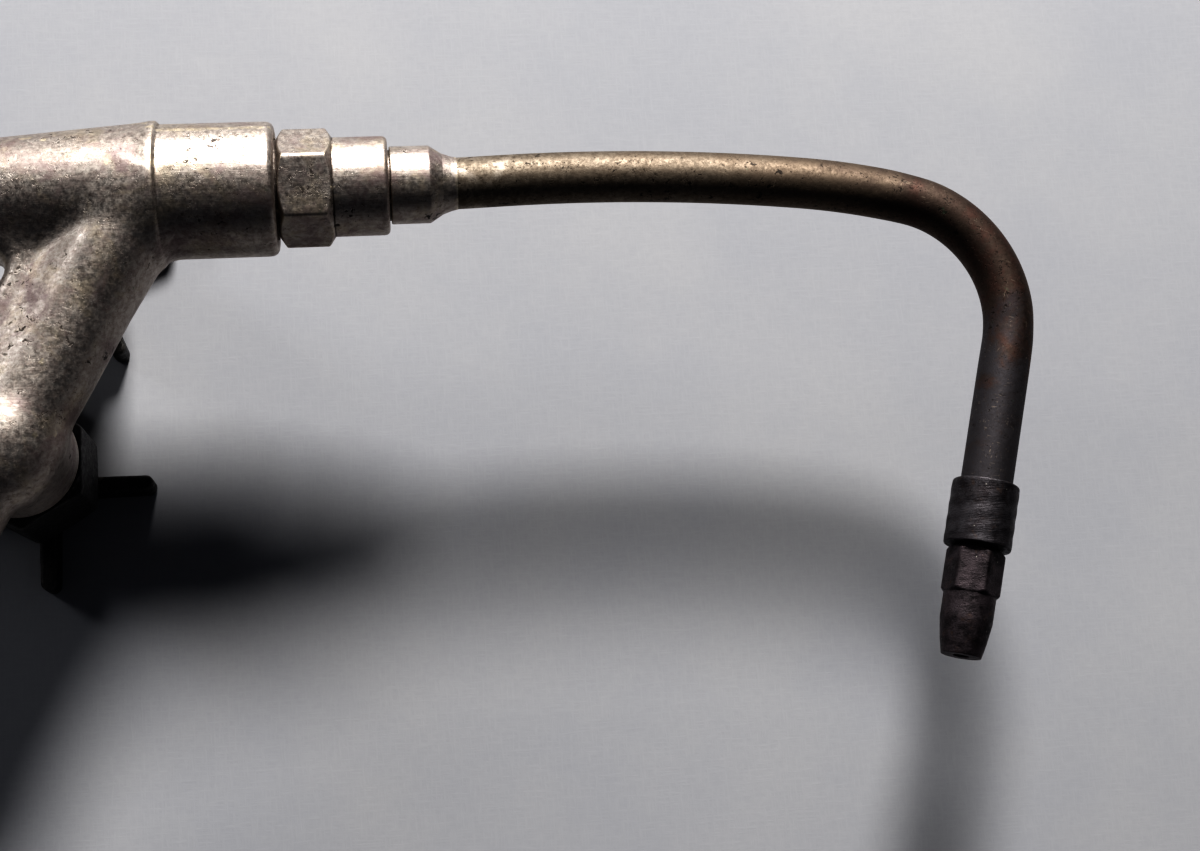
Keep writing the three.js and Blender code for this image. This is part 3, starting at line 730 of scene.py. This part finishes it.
def make_body():
    low, high = (TORCH.inverted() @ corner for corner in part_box("y_body"))
    margin = Vector((2, 2, 2))
    points, faces = skin(body_distance, low - margin, high + margin, BODY_CELL)
    piece = add_piece("forged_body", points, faces, TORCH, "body", NICKEL, ["y_body"], crease=None)
    drill(piece, bore_cutters())
    piece.data.set_sharp_from_angle(angle=math.radians(CAST_CREASE))


make_body()


# ---------------------------------------------------------------- coupling nut and neck
def make_coupling_nut():
    corners = [
        (-6, 6.65, 0), (-6, 9.0, 0.5), (0.4, 9.0, 0), (0.4, 9.2, 0), (1.9, 11.6, 0.3), (8.7, 11.6, 0.3),
        (10.2, 9.35, 0.25), (10.35, 9.1, 0), (20.4, 9.1, 1.1), (20.4, 6.65, 0.2)]
    turned_piece("union_coupling_nut", corners, TORCH, "coupling_nut", NICKEL, "coupling_nut", sides=192,
                 step=0.3, hexes=[(0.4, 10.2, NUT_FLATS, NUT_TURN)], threads=[(-5.5, 0.3, 1.27, 0.55, 8)])


def make_neck_socket():
    corners = [
        (-8.8, 4.6, 0), (-8.8, 8.3, 0.3), (-6.3, 8.3, 0.3), (-6.3, 6.5, 0.2), (20.7, 6.5, 0),
        (20.7, 7.15, 0.35), (27.9, 7.15, 0.8), (30.3, 5.6, 0.8), (31.9, 5.05, 0.6), (33.0, 4.80, 0),
        (33.0, 4.74, 0), (16, 4.74, 0), (16, 3.2, 0), (-2, 3.2, 1)]
    turned_piece("neck_socket_brazed", corners, TORCH, "neck", NICKEL, "neck_socket", sides=128, step=0.6)


def neck_line():
    """The neck's centre line: points, headings and the distance run, in the torch's XY plane."""
    x, y, heading, run = NECK_START, 0.0, 0.0, 0.0
    centres, headings, runs = [(x, y)], [0.0], [0.0]
    for length, degrees in NECK_ROUTE + [(NECK_END, 0)]:
        pieces = math.ceil(length / NECK_STEP)
        bend = math.radians(degrees) / pieces
        for _ in range(pieces):
            heading += bend / 2
            x += math.cos(heading) * length / pieces
            y += math.sin(heading) * length / pieces
            heading += bend / 2
            run += length / pieces
            centres.append((x, y))
            headings.append(heading)
            runs.append(run)
    return centres, headings, np.array(runs)


def make_neck_tube():
    centres, headings, runs = neck_line()
    bend_start = sum(length for length, _ in NECK_ROUTE[:-1])
    bend_end = bend_start + NECK_ROUTE[-1][0]
    lead, fade = 6, 10
    flattening = 0.022
    buckle_places = (bend_start + 1, bend_end - 3)
    buckle_reach, buckle_out, buckle_in = 2.6, 0.16, 0.10

    def section(run):
        """The tube's outside there: a little flat in the bend, with two faint buckles on its inner side."""
        inside_bend = np.clip(min(run - bend_start + lead, bend_end + lead - run) / fade, 0, 1)
        squeeze = flattening * inside_bend * inside_bend * (3 - 2 * inside_bend)
        buckle = sum(math.exp(-((run - at) / buckle_reach) ** 2) for at in buckle_places)

        def radius(angle):
            inner = np.clip(-np.cos(angle), 0, 1)
            ovalness = 1 - squeeze * np.cos(2 * angle)
            return TUBE_R * ovalness + buckle_out * buckle * inner ** 2 - buckle_in * buckle
        return radius

    points, faces = swept(centres, headings, TUBE_R - TUBE_WALL, [section(run) for run in runs], TUBE_SIDES)
    heat = np.repeat(np.concatenate([runs, runs[::-1]]) / runs[-1], TUBE_SIDES)
    add_piece("swan_neck", points, faces, TORCH, "neck", HEATED, ["neck_tube"], layers=[("neck_heat", heat)])


def tip_place():
    """The frame of the neck's straight end: X along it, from the end of the bend."""
    centres, headings, runs = neck_line()
    bend_end = sum(length for length, _ in NECK_ROUTE)
    at = int(np.argmin(np.abs(runs - bend_end)))
    x, y = centres[at]
    return TORCH @ Matrix.Translation((x, y, 0)) @ turn(math.degrees(headings[at]), "Z")


TIP = tip_place()


def make_tip_collar():
    """A plain sleeve, its outside a little uneven."""
    outline = rounded([
        (27.6, 4.85, 0), (27.6, COLLAR_R, 0.45), (39.7, COLLAR_R, 0.35), (39.7, 4.2, 0), (33.9, 4.2, 0),
        (33.9, 4.85, 0)], step=0.35)
    points, faces = spun(outline, 96)
    unevenness = 0.035
    wobble = unevenness * np.sin(points[:, 0] * 2.1 + 2.0 * np.arctan2(points[:, 1], points[:, 2]))
    outer = np.hypot(points[:, 1], points[:, 2]) > 6
    points[:, 1:] *= np.where(outer, 1 + wobble / COLLAR_R, 1)[:, None]
    add_piece("tip_sleeve", points, faces, TIP, "neck", SOOT_SLEEVE, ["tip_collar"])


def make_burner_tip():
    corners = [
        (34.4, 1.5, 0), (34.4, 3.9, 0.3), (40.2, 3.9, 0), (40.2, 4.75, 0), (41.0, 5.7, 0.2), (47.9, 5.7, 0.2),
        (48.7, 4.78, 0.1), (53.4, 4.78, 5), (57.0, 4.25, 5), (59.9, 3.65, 0.15), (59.9, 1.5, 0.12)]
    turned_piece("screwed_tip", corners, TIP, "neck", SOOT_TIP, "burner_tip", sides=144, step=0.35,
                 hexes=[(40.2, 48.7, TIP_FLATS, TIP_TURN)], threads=[(34.8, 40.0, 1.0, 0.35, 3)])


make_coupling_nut()
make_neck_socket()
make_neck_tube()
make_tip_collar()
make_burner_tip()


# ---------------------------------------------------------------- needle valves
HUB = rounded([(-41.3, -4, 0), (-41.3, 4.7, 0.6), (-43.6, 6.3, 0.8), (-48.6, 6.3, 0.9), (-48.6, -4, 0)])


def handle_distance(p):
    """A cast cross handle about the upright axis: a hub and four bars that widen a little into it."""
    x, y, z = p[:, 0], p[:, 1], p[:, 2]
    plan = np.full(len(p), 99.0)
    for along, aside in ((x, y), (-x, y), (y, x), (-y, x)):
        half = ARM_HALF - ARM_TAPER * np.clip(along / 20, 0, 1)
        bar = np.maximum(np.hypot(np.maximum(along - ARM_REACH, 0), aside) - half, -along)
        plan = soft_min(plan, bar, FILLET["arm"])
    cross = rounded_overlap(plan, np.abs(z - ARM_MIDDLE) - ARM_HALF_HEIGHT, ARM_EDGE)
    return soft_min(outline_distance(HUB, z, np.hypot(x, y)), cross, FILLET["hub"])


def make_handle(name, place):
    points, faces = skin(handle_distance, (-22, -22, -51), (22, 22, -40), HANDLE_CELL)
    handle = add_piece(f"{name}_cross_handle", points, faces, place, f"{name}_handle", IRON,
                       [f"{name}_handle"], crease=None)
    upright = place @ UPRIGHT
    drill(handle, [(upright, -52, -38, 2.45), (upright, -52, -46.2, 3.6)])
    handle.data.set_sharp_from_angle(angle=math.radians(CAST_CREASE))

    corners = [
        (-48.1, 0.02, 0), (-48.1, 3.2, 0.5), (-46.5, 3.2, 0.2), (-46.5, 1.1, 0.1), (-41.8, 1.1, 0.3),
        (-41.8, 0.02, 0)]
    screw = turned_piece(f"{name}_fixing_screw", corners, upright, f"{name}_handle", STEEL,
                         f"{name}_handle_screw", sides=64, step=0.4)
    drill(screw, [(upright, -49, -47.2, 4, SLOT_WIDTH)])
    screw.data.set_sharp_from_angle(angle=math.radians(TURNED_CREASE))


def make_valve(name, place, handle_turn):
    upright = place @ UPRIGHT
    bonnet = [
        (-35.1, 5.2, 0.15), (-35.1, 10.9, 0), (-33.6, 13.2, 0.3), (-17.0, 13.2, 0.3), (-15.5, 10.9, 0.1),
        (-15.5, 6.8, 0.2), (-9.6, 6.8, 0.4), (-9.6, 3.1, 0), (-26, 3.1, 0), (-26, 5.2, 0)]
    turned_piece(f"{name}_bonnet_hex", bonnet, upright, "body", IRON, f"{name}_bonnet", sides=168, step=0.5,
                 hexes=[(-35.1, -15.5, BONNET_FLATS, 0)])

    gland = [
        (-40.4, 2.9, 0.2), (-40.4, 6.2, 0), (-39.5, 7.8, 0.2), (-36.3, 7.8, 0.2), (-35.4, 6.2, 0.1),
        (-35.4, 4.9, 0), (-31.6, 4.9, 0.2), (-31.6, 2.9, 0)]
    turned_piece(f"{name}_gland_hex", gland, upright, "body", BRASS, f"{name}_gland_nut", sides=120, step=0.4,
                 hexes=[(-40.4, -35.4, GLAND_FLATS, 0)])

    washer = [(-15.3, 7.3, 0.1), (-15.3, 9.1, 0.2), (-14.5, 9.1, 0.2), (-14.5, 7.3, 0.1)]
    turned_piece(f"{name}_joint_ring", washer, upright, "body", FIBRE, f"{name}_bonnet_washer")

    packing = [(-31.3, 2.75, 0.5), (-31.3, 4.9, 0.6), (-26.3, 4.9, 0.6), (-26.3, 2.75, 0.5)]
    turned_piece(f"{name}_packing_rope", packing, upright, "body", CORD, f"{name}_packing", step=0.4)

    needle = [
        (-46.2, 1.35, 0), (-46.2, 2.3, 0.2), (-41, 2.3, 0), (-41, 2.6, 0.1), (-7.4, 2.6, 0.3),
        (-3.2, 0.5, 0.2), (-3.2, 0.02, 0), (-7.0, 0.02, 0), (-9.0, 1.3, 0.2), (-41.4, 1.35, 0)]
    turned_piece(f"{name}_needle_stem", needle, upright, f"{name}_stem", STEEL, f"{name}_stem", sides=48,
                 step=0.5, threads=[(-21, -10.5, 1.0, 0.3, 2)])

    make_handle(name, place @ turn(handle_turn, "Z"))


make_valve("main", MAIN, MAIN_HANDLE_TURN)
make_valve("branch", BRANCH, -BRANCH_ANGLE)


# ---------------------------------------------------------------- hose connections
def make_inlet(name, place, tail):
    """A washer, a threaded spigot, a barbed tail and its nut, behind the end face of a leg."""
    face = -tail
    flange_end = face - FLANGE_LENGTH
    out_end = flange_end - SPIGOT_THREAD
    ring = [(face - 0.8, 5.3, 0), (face - 0.8, 7.2, 0.2), (face - 0.15, 7.2, 0.2), (face - 0.15, 5.3, 0)]
    turned_piece(f"{name}_inlet_ring", ring, place, "body", FIBRE, f"{name}_spigot_washer")

    spigot = [
        (out_end, 4.4, 0), (out_end, 5.6, 0.5), (flange_end, 5.6, 0), (flange_end, 7.0, 0),
        (flange_end + 0.8, 8.3, 0.2), (face - 1.8, 8.3, 0.2), (face - 1, 7.0, 0), (face - 1, 5.0, 0),
        (face + 8.6, 5.0, 0.4), (face + 8.6, 2.5, 0), (out_end + 2.4, 2.5, 0)]
    turned_piece(f"{name}_threaded_spigot", spigot, place, "body", NICKEL, f"{name}_inlet_spigot", sides=144,
                 step=0.35, hexes=[(flange_end, face - 1, SPIGOT_FLATS, 0)],
                 threads=[(out_end + 0.3, flange_end - 0.8, 1.3, 0.55, 4.6)])

    head_front = out_end - 0.3
    head = head_front - HEAD_LENGTH
    tail_end = head - TAIL_LENGTH
    pitch = (TAIL_LENGTH - PLAIN_LENGTH) / BARBS
    nipple = [(tail_end, TAIL_BORE, 0.2)]
    for i in range(BARBS):
        start = tail_end + i * pitch
        nipple += [
            (start, TAIL_R, 0.3), (start + pitch * 0.8, BARB_R, 0.15), (start + pitch * 0.86, TAIL_R, 0.2)]
    nipple += [
        (head, TAIL_R, 0.5), (head, 6.1, 0.3), (head_front, 6.1, 0.2), (head_front, 4.2, 0),
        (out_end + 1, 3.1, 0.2), (out_end + 1, TAIL_BORE, 0)]
    turned_piece(f"{name}_barbed_tail", nipple, place, "body", NICKEL, f"{name}_hose_nipple", step=0.5)

    back = head - 0.15 - UNION_FLOOR
    front = back + UNION_LENGTH
    seat = back + UNION_FLOOR
    union = [
        (back, 4.7, 0.3), (back, 9.0, 0), (back + CHAMFER, UNION_R, 0.3), (front - CHAMFER, UNION_R, 0.3),
        (front, 9.0, 0), (front, 6.35, 0.4), (seat, 6.35, 0), (seat, 4.7, 0)]
    turned_piece(f"{name}_hose_union", union, place, f"{name}_union_nut", NICKEL, f"{name}_union_nut",
                 sides=192, step=0.4, hexes=[(back, front, UNION_FLATS, 0)])


make_inlet("main", MAIN, MAIN_TAIL)
make_inlet("branch", BRANCH, BRANCH_TAIL)

# The pieces that are sealed inside keep their CAD shape.
for node, (_, material) in (("mixer_jet", BRASS), ("mixer_washer", FIBRE), ("neck_washer", FIBRE)):
    frame["nodes"][node].data.materials.clear()
    frame["nodes"][node].data.materials.append(material)


# ---------------------------------------------------------------- floor, light and camera
def make_floor():
    bpy.ops.mesh.primitive_plane_add(size=4, location=(0, 0, 0))
    floor = bpy.context.object
    floor.name = "floor"
    floor.data.materials.append(table_top())


def add_light(name, toward, distance, size, power, color):
    data = bpy.data.lights.new(name, "AREA")
    data.shape = "DISK"
    data.size, data.energy, data.color = size, power, color
    light = bpy.data.objects.new(name, data)
    direction = Vector(toward).normalized()
    light.location = direction * distance
    light.rotation_euler = direction.to_track_quat("Z", "Y").to_euler()
    bpy.context.scene.collection.objects.link(light)


def make_light():
    add_light("key", (0.125, 0.78, 0.63), 1.2, 0.32, 20.0, (1.0, 0.985, 0.965))
    add_light("side", (-0.72, 0.50, 0.50), 1.0, 0.25, 1.3, (0.97, 0.98, 1.0))
    add_light("fill", (0.3, -0.25, 1.0), 1.2, 0.9, 0.15, (0.92, 0.95, 1.0))
    world = bpy.data.worlds.new("room")
    world.use_nodes = True
    world.node_tree.nodes["Background"].inputs["Color"].default_value = rgb(0.50, 0.54, 0.66)
    world.node_tree.nodes["Background"].inputs["Strength"].default_value = 0.055
    bpy.context.scene.world = world


CAMERA = {"x": 18.15, "y": -115.1, "z": 324.8, "tilt_x": 6.6, "tilt_y": 11.74, "roll": 2.65, "lens": 55.05}


def make_camera():
    """Stands above the near end of the neck, leaning a little towards the tip."""
    back = Vector((-math.sin(math.radians(CAMERA["tilt_x"])), -math.sin(math.radians(CAMERA["tilt_y"])), 0))
    back.z = math.sqrt(1 - back.x ** 2 - back.y ** 2)
    right = (Vector((1, 0, 0)) - back.x * back).normalized()
    up = back.cross(right)
    roll = math.radians(CAMERA["roll"])
    right, up = right * math.cos(roll) - up * math.sin(roll), right * math.sin(roll) + up * math.cos(roll)
    data = bpy.data.cameras.new("camera")
    data.lens, data.sensor_width = CAMERA["lens"], 36
    camera = bpy.data.objects.new("camera", data)
    rotation = Matrix((right, up, back)).transposed().to_4x4()
    spot = TORCH @ Vector((CAMERA["x"], CAMERA["y"], CAMERA["z"]))
    camera.matrix_world = Matrix.Translation(spot) @ rotation
    data.clip_start, data.clip_end = 0.01, 10
    bpy.context.scene.collection.objects.link(camera)
    bpy.context.scene.camera = camera


make_floor()
make_light()
make_camera()
bpy.context.scene.view_settings.view_transform = "Standard"
bpy.context.scene.view_settings.look = "Very High Contrast"
